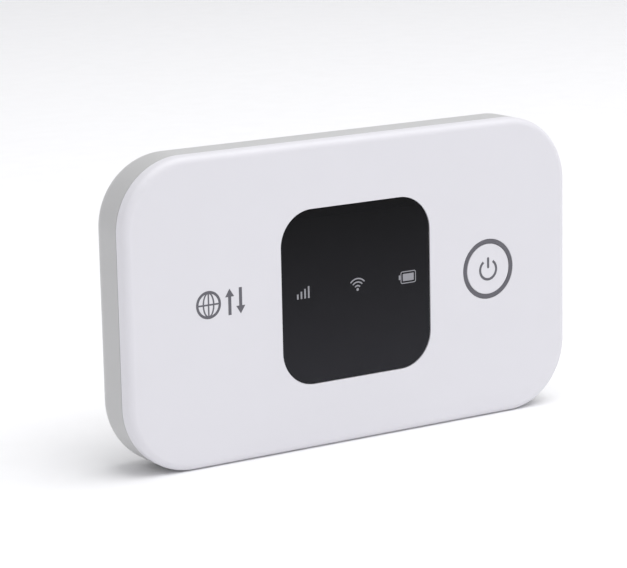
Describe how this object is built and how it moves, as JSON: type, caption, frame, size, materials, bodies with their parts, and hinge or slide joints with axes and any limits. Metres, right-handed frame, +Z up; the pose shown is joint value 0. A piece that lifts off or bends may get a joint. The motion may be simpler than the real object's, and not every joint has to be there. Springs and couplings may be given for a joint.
{
  "type": "mobile hotspot",
  "caption": "Pocket mobile hotspot with a black status window and round power button on a white front, and a grey rear cover that lifts off over a removable battery.",
  "frame": {"origin": "centre of the underside of the lower long edge, on which the hotspot stands", "axes": "+Z up along the 58 mm height, +X along the 98 mm width towards the power button, +Y from the front face to the back; the front faces -Y"},
  "size_m": [0.098, 0.013, 0.058],
  "materials": {
    "front_white": "moulded ABS, gloss white",
    "button_white": "moulded ABS, gloss white",
    "ring_grey": "dark grey satin",
    "lens_black": "tinted acrylic, polished",
    "film_dark": "printed polyester film",
    "tape_black": "die-cut adhesive tape",
    "baffle_white": "moulded ABS, white",
    "led_phosphor": "resin over a chip",
    "rear_grey": "moulded ABS, fine satin texture",
    "frame_black": "moulded ABS, satin",
    "board_green": "glass epoxy with solder mask",
    "can_tin": "tin-plated steel sheet",
    "chip_epoxy": "moulded epoxy",
    "crystal_can": "plated lid",
    "ferrite": "pressed ferrite",
    "capacitor_tan": "fired ceramic",
    "thermal_silicone": "soft silicone pad",
    "usb_steel": "stamped, nickel-plated",
    "socket_black": "glass-filled polymer",
    "contact_gold": "gold-plated",
    "switch_steel": "stamped cover",
    "plunger_black": "moulded nylon",
    "plunger_white": "moulded nylon",
    "card_white": "card PVC",
    "antenna_copper": "flexible printed copper",
    "screw_steel": "zinc-plated",
    "label_white": "blank polyester label",
    "sticker_pale": "paper indicator",
    "cell_aluminium": "drawn can",
    "cap_black": "moulded end caps",
    "wrap_white": "blank printed film",
    "pad_foam": "closed-cell foam"
  },
  "bodies": {
    "housing": {"front_cover": "front_white", "display_lens": "lens_black", "lens_tape": "tape_black", "icon_film": "film_dark", "light_baffle": "baffle_white", "status_leds": "led_phosphor", "button_ring": "ring_grey", "power_switch": "switch_steel", "main_board": "board_green", "baseband_can": "can_tin", "radio_can": "can_tin", "wireless_can": "can_tin", "baseband_chip": "chip_epoxy", "memory_chip": "chip_epoxy", "power_chip": "chip_epoxy", "radio_chip": "chip_epoxy", "power_amplifiers": "chip_epoxy", "wireless_chip": "chip_epoxy", "clock_crystal": "crystal_can", "power_inductors": "ferrite", "chip_capacitors": "capacitor_tan", "thermal_pad": "thermal_silicone", "usb_shell": "usb_steel", "usb_tongue": "socket_black", "usb_contacts": "contact_gold", "reset_switch": "switch_steel", "sim_base": "socket_black", "sim_contacts": "contact_gold", "sim_cage": "can_tin", "battery_connector": "socket_black", "battery_springs": "contact_gold", "antenna_clips": "contact_gold", "main_antenna": "antenna_copper", "diversity_antenna": "antenna_copper", "wireless_antenna": "antenna_copper", "mid_frame": "frame_black", "frame_screws": "screw_steel", "bay_label": "label_white", "moisture_sticker": "sticker_pale"},
    "button": {"power_button": "button_white"},
    "plunger": {"power_plunger": "plunger_black"},
    "reset_key": {"reset_plunger": "plunger_white"},
    "cover": {"rear_cover": "rear_grey", "cover_pad": "pad_foam"},
    "battery": {"battery_cell": "cell_aluminium", "battery_caps": "cap_black", "battery_wrap": "wrap_white", "battery_terminals": "contact_gold"},
    "sim": {"sim_card": "card_white"}
  },
  "joints": [
    {"name": "power_press", "type": "slide", "parent": "housing", "child": "button", "axis": [0, 1, 0], "range_m": [0, 0.0003], "stiffness_N_per_m": 3000, "springref_m": -0.0003},
    {"name": "plunger_travel", "type": "slide", "parent": "housing", "child": "plunger", "axis": [0, 1, 0], "range_m": [0, 0.0003]},
    {"name": "reset_press", "type": "slide", "parent": "housing", "child": "reset_key", "axis": [0, -1, 0], "range_m": [0, 0.00025], "stiffness_N_per_m": 1500, "springref_m": -0.0003},
    {"name": "cover_lift", "type": "slide", "parent": "housing", "child": "cover", "axis": [0, 1, 0], "range_m": [0, 0.04]},
    {"name": "battery_lift", "type": "slide", "parent": "housing", "child": "battery", "axis": [0, 1, 0], "range_m": [0, 0.018]},
    {"name": "sim_slide", "type": "slide", "parent": "housing", "child": "sim", "axis": [1, 0, 0], "range_m": [0, 0.012]}
  ],
  "couplings": [
    {"joint": "plunger_travel", "follows": "power_press", "ratio": 1},
    {"joint": "battery_lift", "follows": "cover_lift", "ratio": 0.45}
  ]
}
